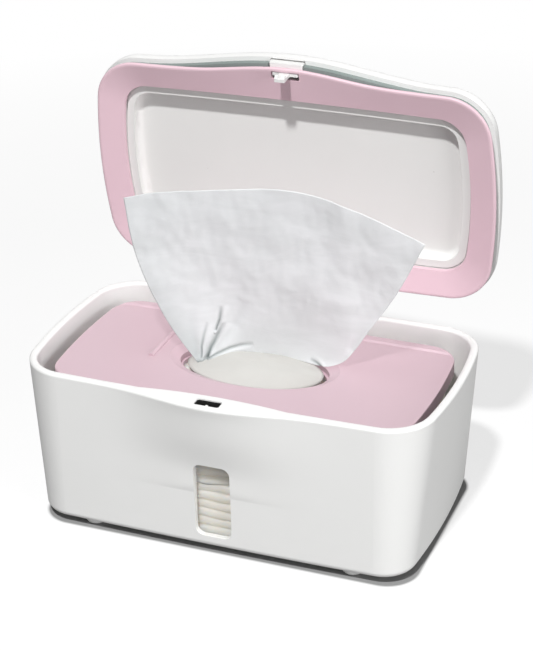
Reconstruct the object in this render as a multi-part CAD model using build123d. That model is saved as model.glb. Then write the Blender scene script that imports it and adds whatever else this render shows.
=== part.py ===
from build123d import *
import math
import os

# Wipes dispenser: a tub with a hinged lid, a weighted plate and a refill of folded wipes.
# Working frame in millimetres: X to the right, Y to the back, Z up from the floor.
# The lid is drawn shut and then swung open about its hinge pin.

# Tub
tub_length = 230.0
tub_depth = 123.6
rim_height = 91.0
tub_lift = 3.8
end_taper = 7.8
corner_radius = 26.0
bottom_corner_radius = 18.0
end_bow = 2.2
side_bow = 1.0
bottom_edge_radius = 3.5
rim_width = 4.3
rim_edge_radius = 1.5
wall = 3.0
floor_thickness = 3.0

# Latch ledge at the front of the rim
ledge_reach = 7.04
ledge_half_width = 62.0
ledge_height = 55.0
ledge_softness = 1.5
ledge_line = 60.0
ledge_line_height = 10.0
ledge_line_share = 0.12
ledge_inner_reach = 3.2
ledge_inner_half_width = 42.0
ledge_inner_height = 13.0
latch_slot_width = 13.6
latch_slot_depth = 6.2
latch_slot_height = 11.0
latch_slot_setback = 3.24
latch_slot_radius = 1.2

# Window
window_width = 20.3
window_height = 43.2
window_sill = 6.7
window_radius = 4.5
window_flange = 1.8
window_flange_thickness = 1.2
window_recess = 0.6
fit_gap = 0.15

# Feet
foot_diameter = 12.0
foot_end_inset = 41.5
foot_side_inset = 10.4
foot_recess = 1.2
foot_dome = 2.0

# Hinge at the back
hinge_reach = 8.2
hinge_rise = 4.5
knuckle_radius = 4.8
pin_diameter = 3.0
pin_clearance = 0.1
spring_knuckle_width = 28.0
lid_knuckle_width = 13.6
outer_knuckle_width = 9.6
knuckle_gap = 0.4
hinge_web_drop = 16.0
spring_wire = 1.3
spring_width = 22.0
lid_open_angle = 84.0

# Lid
seat_gap = 0.3
lid_side_step = 0.2
cover_reach = 8.2
cover_half_width = 85.0
frame_inset = 1.0
frame_reach = 5.2
frame_edge = 2.2
frame_edge_radius = 0.9
frame_land = 1.6
frame_border = 15.5
frame_dish = 3.5
frame_inner_thickness = 2.4
opening_radius = 15.0
gasket_setback = 2.4
gasket_width = 2.8
gasket_height = 3.3
stack_gap = 0.1
lid_height = 18.2
lid_top_radius = 9.0
lid_wall = 2.8
liner_border = 5.0
liner_wall = 1.5
liner_flange = 3.0
liner_pocket = 6.1
liner_groove_width = 0.8
liner_groove_depth = 1.0
liner_floor_radius = 3.5

# Latch button and hook
button_width = 18.8
button_height = 5.4
button_thickness = 2.8
button_travel = 2.0
button_gap = 0.4
button_reach = 6.0
button_skin = 1.0
slide_thickness = 1.8
slide_length = 9.5
nub_width = 2.0
hook_width = 14.6
hook_thickness = 1.6
hook_wing_gap = 0.1
hook_drop = 7.5
hook_tongue_width = 5.6
hook_fork_gap = 2.0
hook_toe = 1.9
hook_toe_height = 1.8
hook_slot_gap = 0.5
coil_diameter = 4.0
coil_wire = 0.7
coil_length = 4.4
catch_rib_width = 1.2
catch_rib_depth = 1.6
catch_rib_drop = 0.4
catch_plate = 1.5

# Weighted plate
plate_end_gap = 8.4
plate_side_gap = 7.7
plate_length = tub_length - 2 * (rim_width + plate_end_gap)
plate_depth = tub_depth - 2 * (rim_width + plate_side_gap)
plate_corner_radius = 17.0
plate_drop = 6.7
plate_height = 9.0
plate_lip_width = 5.5
plate_lip_height = 1.0
plate_edge_radius = 1.8
plate_wall = 2.2
plate_base_thickness = 2.0
oval_length = 84.0
oval_depth = 44.0
oval_funnel = 6.0
oval_funnel_depth = 2.8
oval_step = 1.4
oval_rim_width = 4.0
weight_thickness = 3.2
weight_clearance = 1.5
plate_rib_position = 55.3
plate_rib_length = 30.5
plate_rib_middle = 4.0
plate_rib_width = 3.0
plate_screw_diameter = 2.4
plate_screw_head = 5.0
plate_screw_inset = 12.0
plate_boss_diameter = 6.4

# Refill of wipes
stack_end_gap = 9.2
stack_side_gap = 7.3
stack_length = tub_length - 2 * (end_taper + wall + stack_end_gap)
stack_depth = tub_depth - 2 * (wall + stack_side_gap)
stack_edge_radius = 5.0
next_wipe_gap = 2.6
next_wipe_slope = 3.0
rest_gap = 0.3

# Pulled wipe
wipe_thickness = 3.0
wipe_base_lift = 0.4
wipe_height = 102.0
wipe_fold_depth = 4.0
wipe_fold_count = 5
wipe_edge_radius = 196.0
wipe_edge_middle = 11.0
wipe_trim = 1.05
wipe_row_count = 4
wipe_foot_left = 31.0
wipe_foot_right = 35.0
wipe_spread_left = 43.0
wipe_spread_right = 66.0
wipe_foot_front = 10.0
wipe_middle_back = 10.0
wipe_right_back = 8.0

# Levels and places worked out from the sizes above
half_length = tub_length / 2
half_depth = tub_depth / 2
hinge_y = half_depth + hinge_reach
hinge_z = rim_height + hinge_rise
seat_z = rim_height + seat_gap
frame_top = seat_z + frame_edge
gasket_base = frame_top + stack_gap
shell_base = gasket_base + gasket_height + stack_gap
lid_top = seat_z + lid_height
opening_level = seat_z + frame_dish
liner_base = opening_level + frame_inner_thickness
liner_ceiling = liner_base + liner_pocket
slot_front = -(half_depth + ledge_reach - latch_slot_setback)
slot_back = slot_front + latch_slot_depth
hook_front = slot_front + hook_toe + fit_gap * 2
hook_back = hook_front + hook_thickness
button_front = -(half_depth + button_reach)
plate_top = rim_height - plate_drop
plate_bottom = plate_top - plate_height
stack_base = tub_lift + floor_thickness + rest_gap
stack_top = plate_bottom - rest_gap
funnel_floor = plate_top - plate_lip_height - oval_funnel_depth


def bumped(x, half_y, bump, bump_half):
    """Front line of an outline at x, standing proud in its middle."""
    reach = min(abs(x) / bump_half, 1.0)
    return -(half_y + bump * math.cos(reach * math.pi / 2) ** 2)


def outline(half_x, half_y, radius, bow_x, bow_y, bump=0.0, bump_half=ledge_half_width):
    """Rounded rectangle with gently bowed sides, as eight tangent edges in one face."""
    core_x = half_x - bow_x - radius
    core_y = half_y - bow_y - radius
    end_arc = (core_y**2 + bow_x**2) / (2 * bow_x)
    side_arc = (core_x**2 + bow_y**2) / (2 * bow_y)
    end_turn = math.asin(core_y / end_arc)
    side_turn = math.asin(core_x / side_arc)
    middle_turn = (end_turn + math.pi / 2 - side_turn) / 2
    end_x = core_x + radius * math.cos(end_turn)
    end_y = core_y + radius * math.sin(end_turn)
    side_x = core_x + radius * math.sin(side_turn)
    side_y = core_y + radius * math.cos(side_turn)
    turn_x = core_x + radius * math.cos(middle_turn)
    turn_y = core_y + radius * math.sin(middle_turn)
    front = ThreePointArc((-side_x, -side_y), (0, -half_y), (side_x, -side_y))
    if bump:
        slope = math.tan(side_turn)
        arc_radius = side_arc + radius
        steps = 8
        points = []
        for step in range(steps + 1):
            x = -side_x + 2 * side_x * step / steps
            bow = arc_radius - math.sqrt(arc_radius**2 - x**2)
            points.append((x, bumped(x, half_y - bow, bump, bump_half)))
        front = Spline(*points, tangents=[(1, -slope), (1, slope)])
    edges = [
        front,
        ThreePointArc((side_x, -side_y), (turn_x, -turn_y), (end_x, -end_y)),
        ThreePointArc((end_x, -end_y), (half_x, 0), (end_x, end_y)),
        ThreePointArc((end_x, end_y), (turn_x, turn_y), (side_x, side_y)),
        ThreePointArc((side_x, side_y), (0, half_y), (-side_x, side_y)),
        ThreePointArc((-side_x, side_y), (-turn_x, turn_y), (-end_x, end_y)),
        ThreePointArc((-end_x, end_y), (-half_x, 0), (-end_x, -end_y)),
        ThreePointArc((-end_x, -end_y), (-turn_x, -turn_y), (-side_x, -side_y)),
    ]
    return make_face(edges)


def tub_outline(level, inset=0.0, bump=0.0):
    """Tub section at a level: the ends draw in towards the bottom."""
    share = (rim_height - level) / (rim_height - tub_lift)
    radius = corner_radius + (bottom_corner_radius - corner_radius) * share - inset
    half_x = half_length - end_taper * share - inset
    section = outline(half_x, half_depth - inset, radius, end_bow, side_bow, bump)
    return Pos(0, 0, level) * section


def frame_outline(level, inset):
    """Section of the lid's frame, a little inside the rim and its ledge."""
    step = frame_inset + inset
    half_x = half_length - step
    half_y = half_depth - step
    section = outline(half_x, half_y, corner_radius - step, end_bow, side_bow, frame_reach)
    return Pos(0, 0, level) * section


def cover_outline(level, inset):
    """Section of the lid's cover, whose front swells out more broadly than the frame."""
    step = lid_side_step + inset
    half_x = half_length - step
    half_y = half_depth - step
    radius = corner_radius - step
    section = outline(half_x, half_y, radius, end_bow, side_bow, cover_reach, cover_half_width)
    return Pos(0, 0, level) * section


def opening_outline(level, inset):
    """Opening of the lid frame and of the liner behind it."""
    half_x = half_length - frame_border - inset
    half_y = half_depth - frame_border - inset
    section = outline(half_x, half_y, opening_radius - inset, end_bow, side_bow)
    return Pos(0, 0, level) * section


def top_edges(solid, level):
    """Edges of a solid that lie at one level."""
    shares = (0, 0.3, 0.7, 1)
    return [edge for edge in solid.edges() if all(abs((edge @ share).Z - level) < 0.01 for share in shares)]


def side_profile(points, half_width, middle=0.0):
    """Profile drawn in the YZ plane and made as wide as asked along X."""
    face = Plane.YZ * make_face(Polyline(*points, close=True))
    return Pos(middle, 0, 0) * extrude(face, amount=half_width, both=True)


def barrel(radius, half_width, middle=0.0):
    """Cylinder along the hinge axis."""
    return Pos(middle, hinge_y, hinge_z) * Rot(0, 90, 0) * Cylinder(radius, 2 * half_width)


def inner_inset(level):
    """How far the tub's inner wall stands in from its outline at a level."""
    floor = tub_lift + floor_thickness
    return wall + (rim_width - wall) * (level - floor) / (rim_height - floor)


def rounded_foot(level, radius, inner):
    """Lowest part of the tub's outer form or of its hollow, rounded under its edge."""
    steps = 4
    sections = []
    for step in range(steps + 1):
        turn = math.pi / 2 * step / steps
        height = level + radius * (1 - math.cos(turn))
        inset = inner_inset(height) if inner else 0.0
        sections.append(tub_outline(height, inset + radius * (1 - math.sin(turn))))
    return loft(sections)


def ledge_bump(level):
    """How far the ledge stands out at a level: a long swell with one soft line across it."""
    swell = ((level - rim_height + ledge_height) / ledge_height) ** ledge_softness
    line = min(max((level - ledge_line) / ledge_line_height + 0.5, 0.0), 1.0)
    return ledge_reach * (swell * (1 - ledge_line_share) + line * ledge_line_share)


def tub_body():
    """Outer form of the tub: plain taper below, ledge swelling out of the front above."""
    ledge_foot = rim_height - ledge_height
    lower = loft([tub_outline(tub_lift + bottom_edge_radius), tub_outline(ledge_foot)], ruled=True)
    lower += rounded_foot(tub_lift, bottom_edge_radius, False)
    line_low = ledge_line - ledge_line_height / 2
    line_high = ledge_line + ledge_line_height / 2
    levels = [
        ledge_foot,
        (ledge_foot + line_low) / 2,
        line_low,
        ledge_line,
        line_high,
        (line_high + rim_height) / 2,
        rim_height,
    ]
    sections = [tub_outline(level, 0.0, ledge_bump(level)) for level in levels]
    return lower + loft(sections)


def tub_cavity():
    """Space inside the tub, with the thick back of the latch ledge left standing."""
    floor = tub_lift + floor_thickness
    low = tub_outline(floor + wall, inner_inset(floor + wall))
    high = tub_outline(rim_height, rim_width)
    cavity = loft([low, high], ruled=True) + rounded_foot(floor, wall, True)
    inner = half_depth - rim_width - ledge_inner_reach
    arc = (ledge_inner_half_width**2 + ledge_inner_reach**2) / (2 * ledge_inner_reach)
    middle = rim_height - ledge_inner_height / 2
    swell = Pos(0, -inner - arc, middle) * Cylinder(arc, ledge_inner_height)
    return cavity - swell


def hinge_web(half_width, middle):
    """Bracket from the back wall up to the hinge axis, with its barrel."""
    wall_y = half_depth - wall / 2
    points = [
        (wall_y, rim_height - hinge_web_drop),
        (wall_y, rim_height - knuckle_radius),
        (hinge_y - knuckle_radius * 0.9, rim_height),
        (hinge_y, hinge_z),
        (hinge_y + knuckle_radius * 0.98, hinge_z - 1),
    ]
    return side_profile(points, half_width, middle) + barrel(knuckle_radius, half_width, middle)


def knuckle_centres():
    """Middles of the lid and outer tub knuckles on one side, from the centre outwards."""
    lid_middle = spring_knuckle_width / 2 + knuckle_gap + lid_knuckle_width / 2
    outer_middle = lid_middle + lid_knuckle_width / 2 + knuckle_gap + outer_knuckle_width / 2
    return lid_middle, outer_middle


def window_prism(inset, front, back):
    """Prism of the window's outline between two depths."""
    shape = RectangleRounded(window_width - 2 * inset, window_height - 2 * inset, window_radius - inset)
    middle = tub_lift + window_sill + window_height / 2
    face = Pos(0, back, middle) * (Plane.XZ * shape)
    return extrude(face, amount=back - front)


def foot_places():
    """The four feet, as name, x and y."""
    places = []
    for side_name, side in (("left", -1), ("right", 1)):
        for end_name, end in (("front", -1), ("rear", 1)):
            x = side * (half_length - foot_end_inset)
            y = end * (half_depth - foot_side_inset)
            places.append((f"foot_{end_name}_{side_name}", x, y))
    return places


def base_shell():
    """Moulded tub with its ledge, latch slot, window opening, foot recesses and knuckles."""
    shell = tub_body() - tub_cavity()
    shell = fillet(top_edges(shell, rim_height), rim_edge_radius)
    slot = Box(latch_slot_width, latch_slot_depth, latch_slot_height + 1)
    slot = fillet(slot.edges().filter_by(Axis.Z), latch_slot_radius)
    shell -= Pos(0, (slot_front + slot_back) / 2, rim_height - latch_slot_height / 2 + 0.5) * slot
    shell -= window_prism(0, -half_depth - 3, -half_depth + 8)
    for _, x, y in foot_places():
        shell -= Pos(x, y, tub_lift + foot_recess / 2) * Cylinder(foot_diameter / 2 + fit_gap, foot_recess)
    shell += hinge_web(spring_knuckle_width / 2, 0)
    outer = knuckle_centres()[1]
    for side in (-1, 1):
        shell += hinge_web(outer_knuckle_width / 2, side * outer)
    shell -= barrel(pin_diameter / 2 + pin_clearance, half_length)
    bore = knuckle_radius - 1.1
    shell -= barrel(bore, spring_width / 2 + 0.5)
    return shell


def window_lens():
    """Clear pane that plugs the window from inside on a flange."""
    outer_face = -half_depth + window_recess
    flange_top = tub_lift + window_sill + window_height + window_flange
    inner_face = -half_depth + inner_inset(flange_top) + fit_gap / 2
    pane = window_prism(fit_gap, outer_face, inner_face)
    flange = window_prism(-window_flange, inner_face, inner_face + window_flange_thickness)
    return pane + flange


def foot():
    """Soft domed foot, standing in its recess."""
    height = tub_lift + foot_recess - fit_gap
    body = Pos(0, 0, height / 2) * Cylinder(foot_diameter / 2, height)
    return fillet(top_edges(body, 0), foot_dome)


def latch_catch():
    """Catch in the slot: a floor plate and an upright rib at its front, for the slit in the hook's toe."""
    width = latch_slot_width - 2 * fit_gap
    depth = latch_slot_depth - 2 * fit_gap
    middle_y = (slot_front + slot_back) / 2
    floor = rim_height - latch_slot_height
    plate = Box(width, depth, catch_plate)
    plate = fillet(plate.edges().filter_by(Axis.Z), latch_slot_radius)
    rib_height = latch_slot_height - catch_rib_drop - catch_plate
    rib_y = (catch_rib_depth - depth) / 2
    rib = Pos(0, rib_y, catch_plate / 2 + rib_height / 2) * Box(catch_rib_width, catch_rib_depth, rib_height)
    return Pos(0, middle_y, floor + catch_plate / 2) * (plate + rib)


def hinge_pin():
    """Steel pin through all the knuckles."""
    outer = knuckle_centres()[1] + outer_knuckle_width / 2
    return barrel(pin_diameter / 2, outer - 0.5)


def hinge_spring():
    """Torsion spring closed inside the middle knuckle, as its outer form."""
    inner = pin_diameter / 2 + 0.4
    return barrel(inner + spring_wire, spring_width / 2) - barrel(inner, spring_width / 2)


def lid_arm(middle):
    """Arm from the back of the lid to its knuckle on the hinge pin."""
    wall_y = half_depth - lid_wall / 2
    points = [
        (wall_y, shell_base + 0.2),
        (wall_y, shell_base + 8),
        (half_depth + 3, shell_base + 7.4),
        (hinge_y + knuckle_radius * 0.7, hinge_z + knuckle_radius * 0.7),
        (hinge_y, hinge_z),
        (hinge_y - knuckle_radius * 0.95, hinge_z - 0.8),
    ]
    half = lid_knuckle_width / 2
    return side_profile(points, half, middle) + barrel(knuckle_radius, half, middle)


def lid_shell():
    """White top of the lid, a shallow cap with its two hinge arms."""
    cap = extrude(cover_outline(shell_base, 0), amount=lid_top - shell_base)
    cap = fillet(top_edges(cap, lid_top), lid_top_radius)
    hollow_height = lid_top - shell_base - lid_wall
    hollow = extrude(cover_outline(shell_base, lid_wall), amount=hollow_height)
    hollow = fillet(top_edges(hollow, shell_base + hollow_height), lid_top_radius - lid_wall)
    cap -= hollow
    pocket_top = gasket_base + button_height + button_gap * 2.5
    pocket_height = pocket_top - shell_base + 1
    pocket_front = -(half_depth + cover_reach - lid_side_step - button_skin)
    pocket_back = button_front + button_thickness + button_travel
    pocket = Box(button_width + 2 * button_gap, pocket_back - pocket_front, pocket_height)
    cap -= Pos(0, (pocket_back + pocket_front) / 2, pocket_top - pocket_height / 2) * pocket
    arm_middle = knuckle_centres()[0]
    for side in (-1, 1):
        cap += lid_arm(side * arm_middle)
    return cap - barrel(pin_diameter / 2 + pin_clearance, half_length)


def lid_frame():
    """Pink frame round the lid's underside, dished in towards its opening."""
    slab = extrude(frame_outline(seat_z, 0), amount=frame_edge)
    slab = fillet(top_edges(slab, seat_z) + top_edges(slab, frame_top), frame_edge_radius)
    inner_land = lid_side_step + gasket_setback + gasket_width + 0.2 - frame_inset
    rise = loft([frame_outline(frame_top, inner_land), opening_outline(liner_base, 0)], ruled=True)
    dish = loft([frame_outline(seat_z, frame_land), opening_outline(opening_level, 0)], ruled=True)
    opening = extrude(opening_outline(seat_z - 1, 0), amount=lid_height)
    frame = slab + rise - dish - opening
    slot_back_y = hook_back + button_travel + hook_slot_gap
    slot_front_y = hook_front - hook_slot_gap
    slot = Box(hook_width + 2 * hook_slot_gap, slot_back_y - slot_front_y, lid_height)
    frame -= Pos(0, (slot_back_y + slot_front_y) / 2, seat_z + lid_height / 2 - 1) * slot
    channel_depth = button_thickness + button_travel + button_gap
    channel = Box(button_width + 2 * button_gap, channel_depth, lid_height)
    frame -= Pos(0, button_front + channel_depth / 2, frame_top + lid_height / 2) * channel
    post_y = slide_back() + coil_length + button_travel + 0.3
    bed = Box(coil_diameter + 2 * button_gap, post_y - slide_back(), lid_height)
    bed_floor = spring_level() - coil_diameter / 2 - button_gap
    frame -= Pos(0, (post_y + slide_back()) / 2, bed_floor + lid_height / 2) * bed
    post_base = frame_top + 1.2
    post_top = slide_level() + coil_diameter
    post = Box(coil_diameter * 2, 1.4, post_top - post_base)
    return frame + Pos(0, post_y + 0.7, (post_top + post_base) / 2) * post


def lid_gasket():
    """Silicone band under the cover's edge, open at the front where the button comes through."""
    outer = extrude(cover_outline(gasket_base, gasket_setback), amount=gasket_height)
    inner = extrude(cover_outline(gasket_base, gasket_setback + gasket_width), amount=gasket_height)
    notch = Pos(0, -half_depth - ledge_reach, gasket_base) * Box(button_width + 2 * button_gap, 14, 20)
    return outer - inner - notch


def lid_liner():
    """White tray inside the frame's opening, with a grooved ledge, drawn walls and a flat floor."""
    flange = extrude(opening_outline(liner_base, -liner_flange), amount=liner_wall)
    outer = extrude(opening_outline(liner_base, liner_border - liner_wall), amount=liner_pocket + liner_wall)
    outer_top = liner_ceiling + liner_wall
    outer = fillet(top_edges(outer, outer_top), liner_floor_radius + liner_wall)
    pocket = extrude(opening_outline(liner_base, liner_border), amount=liner_pocket)
    pocket = fillet(top_edges(pocket, liner_ceiling), liner_floor_radius)
    groove = extrude(opening_outline(liner_base, 0), amount=liner_groove_depth)
    groove -= extrude(opening_outline(liner_base, liner_groove_width), amount=liner_groove_depth)
    return flange + outer - pocket - groove


def slide_level():
    """Underside of the button's slide."""
    return gasket_base + button_height - slide_thickness


def slide_back():
    """Rear end of the button's slide."""
    return button_front + 0.7 + slide_length


def spring_level():
    """Height of the button spring's axis."""
    return slide_level() + coil_diameter / 2 - fit_gap * 2


def latch_button():
    """Push button in the groove at the front of the lid, with the slide that carries the hook."""
    pad = Box(button_width, button_thickness, button_height)
    pad = fillet(pad.edges().filter_by(Axis.Y), 0.8)
    pad = Pos(0, button_front + button_thickness / 2, gasket_base + button_height / 2) * pad
    top = slide_level() + slide_thickness
    length = slide_back() - button_front - button_thickness / 2
    slide = Box(button_width * 0.8, length, slide_thickness)
    slide = Pos(0, slide_back() - length / 2, top - slide_thickness / 2) * slide
    nub = Box(nub_width, button_thickness * 0.7, button_gap * 2)
    nub = Pos(0, button_front + button_thickness / 2, top + button_gap) * nub
    hook_seat = hook_thickness + 2 * fit_gap
    hook_y = (hook_front + hook_back) / 2
    hook_hole = hook_width + 2 * fit_gap
    cut = Pos(0, hook_y, top) * Box(hook_hole, hook_seat, 4 * slide_thickness)
    shelf = Pos(0, hook_y, top - 0.3) * Box(hook_hole, hook_seat, 0.6)
    return pad + slide + nub - cut + shelf


def latch_hook():
    """Hook that hangs through the frame into the slot of the tub, its toe slit round the catch's rib."""
    top = slide_level() + slide_thickness - 0.6 - fit_gap
    wing_bottom = seat_z + hook_wing_gap
    bottom = rim_height - hook_drop
    middle_y = (hook_front + hook_back) / 2
    wings = Pos(0, middle_y, (top + wing_bottom) / 2) * Box(hook_width, hook_thickness, top - wing_bottom)
    wings = fillet(wings.edges().filter_by(Axis.Y).group_by(Axis.Z)[0], 1.0)
    tongue = Pos(0, middle_y, (top + bottom) / 2) * Box(hook_tongue_width, hook_thickness, top - bottom)
    toe_points = [
        (hook_back, bottom),
        (hook_front - hook_toe * 0.2, bottom),
        (hook_front - hook_toe, bottom + hook_toe_height * 0.6),
        (hook_front - hook_toe, bottom + hook_toe_height),
        (hook_back, bottom + hook_toe_height),
    ]
    toe = side_profile(toe_points, hook_tongue_width / 2)
    slit = Box(hook_fork_gap, 2 * hook_toe - fit_gap, 4 * hook_toe_height)
    return wings + tongue + toe - Pos(0, hook_front - hook_toe, bottom) * slit


def button_spring():
    """Compression spring behind the slide, as its outer form."""
    inner = coil_diameter / 2 - coil_wire
    ring = Rot(90, 0, 0) * (Cylinder(coil_diameter / 2, coil_length) - Cylinder(inner, coil_length))
    return Pos(0, slide_back() + fit_gap + coil_length / 2, spring_level()) * ring


def plate_outline(level, inset=0.0):
    """Outline of the weighted plate."""
    half_x = plate_length / 2 - inset
    half_y = plate_depth / 2 - inset
    section = outline(half_x, half_y, plate_corner_radius - inset, 1.5, 1.0)
    return Pos(0, 0, level) * section


def plate_dip(level, inset):
    """Outline of the shallow trough in the plate's face, open at both ends of the plate."""
    half_x = plate_length / 2 + plate_lip_width
    section = outline(half_x, plate_depth / 2 - inset, plate_corner_radius - plate_lip_width, 1.5, 1.0)
    return Pos(0, 0, level) * section


def oval(level, grow=0.0):
    """Oval of the dispensing opening."""
    return Pos(0, 0, level) * Ellipse(oval_length / 2 + grow, oval_depth / 2 + grow)


def plate_screw_places():
    """Middles of the four screws that close the plate."""
    x = plate_length / 2 - plate_screw_inset
    y = plate_depth / 2 - plate_screw_inset
    return [(-x, -y), (x, -y), (-x, y), (x, y)]


def plate_cover():
    """Pink top of the weighted plate: raised lip, shallow funnel and hollow underside."""
    base = plate_bottom + plate_base_thickness
    face_level = plate_top - plate_lip_height
    body = extrude(plate_outline(base), amount=plate_top - base)
    body = fillet(top_edges(body, plate_top), plate_edge_radius)
    dip_floor = plate_dip(face_level, plate_lip_width + 1.5)
    body -= loft([dip_floor, plate_dip(plate_top + 0.5, plate_lip_width)], ruled=True)
    body -= loft([oval(funnel_floor), oval(face_level + 0.2, oval_funnel)])
    rib = Rot(90, 0, 0) * Cylinder(plate_rib_width / 2, plate_rib_length)
    rib = Pos(-plate_rib_position, plate_rib_middle, face_level) * rib
    ceiling = face_level - plate_wall
    hollow = extrude(plate_outline(base, plate_wall), amount=ceiling - base)
    hollow -= extrude(oval(base, oval_rim_width + oval_funnel), amount=ceiling - base)
    keep = extrude(plate_outline(base), amount=plate_height)
    body = body - hollow + (rib & keep)
    boss_height = ceiling - base
    for x, y in plate_screw_places():
        body += Pos(x, y, base + boss_height / 2) * Cylinder(plate_boss_diameter / 2, boss_height)
        body -= Pos(x, y, base + boss_height / 2 - 0.5) * Cylinder(plate_screw_diameter / 2, boss_height - 1)
    return body - extrude(oval(base - 1), amount=plate_height + 2)


def plate_base():
    """Underside of the weighted plate, whose oval shows as a second line inside the cover's."""
    body = extrude(plate_outline(plate_bottom), amount=plate_base_thickness)
    body = fillet(top_edges(body, plate_bottom), plate_edge_radius / 2)
    body -= extrude(oval(plate_bottom - 1, -oval_step), amount=plate_base_thickness + 2)
    for x, y in plate_screw_places():
        body -= Pos(x, y, plate_bottom + 0.5) * Cylinder(plate_screw_head / 2 + fit_gap, 1.0)
        body -= Pos(x, y, plate_bottom + 1) * Cylinder(plate_screw_diameter / 2 + fit_gap, 4.0)
    return body


def plate_weight(side):
    """Steel slab closed inside one end of the plate."""
    inner = oval_length / 2 + oval_funnel + oval_rim_width + weight_clearance
    base = plate_bottom + plate_base_thickness
    slab = extrude(plate_outline(base, plate_wall + weight_clearance), amount=weight_thickness)
    slab &= Pos(side * (inner + plate_length / 2), 0, base) * Box(plate_length, plate_depth, plate_height)
    for x, y in plate_screw_places():
        boss = Cylinder(plate_boss_diameter / 2 + 0.5, weight_thickness)
        slab -= Pos(x, y, base + weight_thickness / 2) * boss
    return slab


def plate_screws():
    """Four screws up through the plate's underside."""
    screws = Part()
    head = 0.9
    length = plate_base_thickness + 2.5
    for x, y in plate_screw_places():
        foot_level = plate_bottom + 0.1
        screws += Pos(x, y, foot_level + head / 2) * Cylinder(plate_screw_head / 2, head)
        screws += Pos(x, y, foot_level + length / 2) * Cylinder(plate_screw_diameter / 2 - 0.05, length)
    return screws


def wipes_stack():
    """Refill of folded wipes, held down by the plate."""
    height = stack_top - stack_base
    block = extrude(outline(stack_length / 2, stack_depth / 2, 8, 1.5, 1.5), amount=height)
    block = Pos(0, 0, stack_base) * block
    return fillet(top_edges(block, stack_top), stack_edge_radius)


def next_wipe():
    """Crown of the next wipe, standing up into the oval."""
    rise = funnel_floor - stack_top - rest_gap
    low = oval(stack_top, -next_wipe_gap)
    high = oval(stack_top + rise, -next_wipe_gap - next_wipe_slope)
    return loft([low, high], ruled=True)


def wipe_section(level, points, fold):
    """One closed line across the pulled wipe: folds as arcs to and fro, with the sheet's thickness."""
    edges_front = []
    edges_back = []
    count = len(points) - 1
    for index in range(count):
        (x0, y0), (x1, y1) = points[index], points[index + 1]
        length = math.hypot(x1 - x0, y1 - y0)
        side = 1 if index % 2 else -1
        nx, ny = -(y1 - y0) / length, (x1 - x0) / length
        middle = ((x0 + x1) / 2 + nx * fold * side, (y0 + y1) / 2 + ny * fold * side)
        edges_front.append(ThreePointArc((x0, y0), middle, (x1, y1)))
        shift = wipe_thickness
        edges_back.append(ThreePointArc((x0, y0 + shift), (middle[0], middle[1] + shift), (x1, y1 + shift)))
    first, last = points[0], points[-1]
    ends = [
        Line(first, (first[0], first[1] + wipe_thickness)),
        Line(last, (last[0], last[1] + wipe_thickness)),
    ]
    return Pos(0, 0, level) * make_face(edges_front + edges_back + ends)


def pulled_wipe():
    """Wipe drawn up out of the oval, gathered below and fanned out above."""
    base = funnel_floor + wipe_base_lift
    sections = []
    for row in range(wipe_row_count + 1):
        share = row / wipe_row_count
        left = -wipe_foot_left - wipe_spread_left * share**0.45
        right = wipe_foot_right + wipe_spread_right * share**0.7
        left_y = wipe_foot_front * (1.2 * share**0.5 - 1)
        middle_y = wipe_middle_back * (1 - 0.6 * share**2)
        right_y = wipe_right_back * (1 - 0.5 * share**2)
        fold = wipe_fold_depth * (0.4 + 2.4 * share * (1 - share))
        points = []
        for step in range(wipe_fold_count + 1):
            along = step / wipe_fold_count
            crown = 4 * along * (1 - along) * (middle_y - (left_y + right_y) / 2)
            points.append((left + (right - left) * along, left_y + (right_y - left_y) * along + crown))
        sections.append(wipe_section(base + wipe_height * wipe_trim * share, points, fold))
    sheet = loft(sections, ruled=True)
    edge = Pos(wipe_edge_middle, 0, base + wipe_height - wipe_edge_radius) * Rot(90, 0, 0)
    return sheet & edge * Cylinder(wipe_edge_radius, plate_depth)


def opened(shape):
    """A lid piece swung from shut to its open rest."""
    return shape.rotate(Axis((0, hinge_y, hinge_z), (1, 0, 0)), -lid_open_angle)


def all_nodes():
    """Every node of the dispenser by name, at rest in the working frame."""
    nodes = {
        "base_shell": base_shell(),
        "window_lens": window_lens(),
        "latch_catch": latch_catch(),
        "hinge_pin": hinge_pin(),
        "hinge_spring": hinge_spring(),
        "plate_cover": plate_cover(),
        "plate_base": plate_base(),
        "plate_weight_left": plate_weight(-1),
        "plate_weight_right": plate_weight(1),
        "plate_screws": plate_screws(),
        "wipes_stack": wipes_stack(),
        "next_wipe": next_wipe(),
        "pulled_wipe": pulled_wipe(),
    }
    for name, x, y in foot_places():
        nodes[name] = Pos(x, y, 0) * foot()
    lid_pieces = {
        "lid_shell": lid_shell(),
        "lid_frame": lid_frame(),
        "lid_gasket": lid_gasket(),
        "lid_liner": lid_liner(),
        "latch_button": latch_button(),
        "latch_hook": latch_hook(),
        "button_spring": button_spring(),
    }
    for name, piece in lid_pieces.items():
        nodes[name] = opened(piece)
    return nodes


def write_parts():
    """Centre the rest pose over the origin and write one file per node."""
    os.makedirs("parts", exist_ok=True)
    nodes = all_nodes()
    low = min(shape.bounding_box().min.Y for shape in nodes.values())
    high = max(shape.bounding_box().max.Y for shape in nodes.values())
    shift = -(low + high) / 2
    for name, shape in nodes.items():
        export_step(Pos(0, shift, 0) * shape, f"parts/{name}.step")
    print("shift of the working frame along Y:", round(shift, 3))
    print("hinge axis at y, z:", round(hinge_y + shift, 3), round(hinge_z, 3))
    print("slot front and back:", round(slot_front + shift, 3), round(slot_back + shift, 3))


write_parts()
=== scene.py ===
import math

import bpy
import numpy as np
from mathutils import Matrix, Vector, noise


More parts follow.
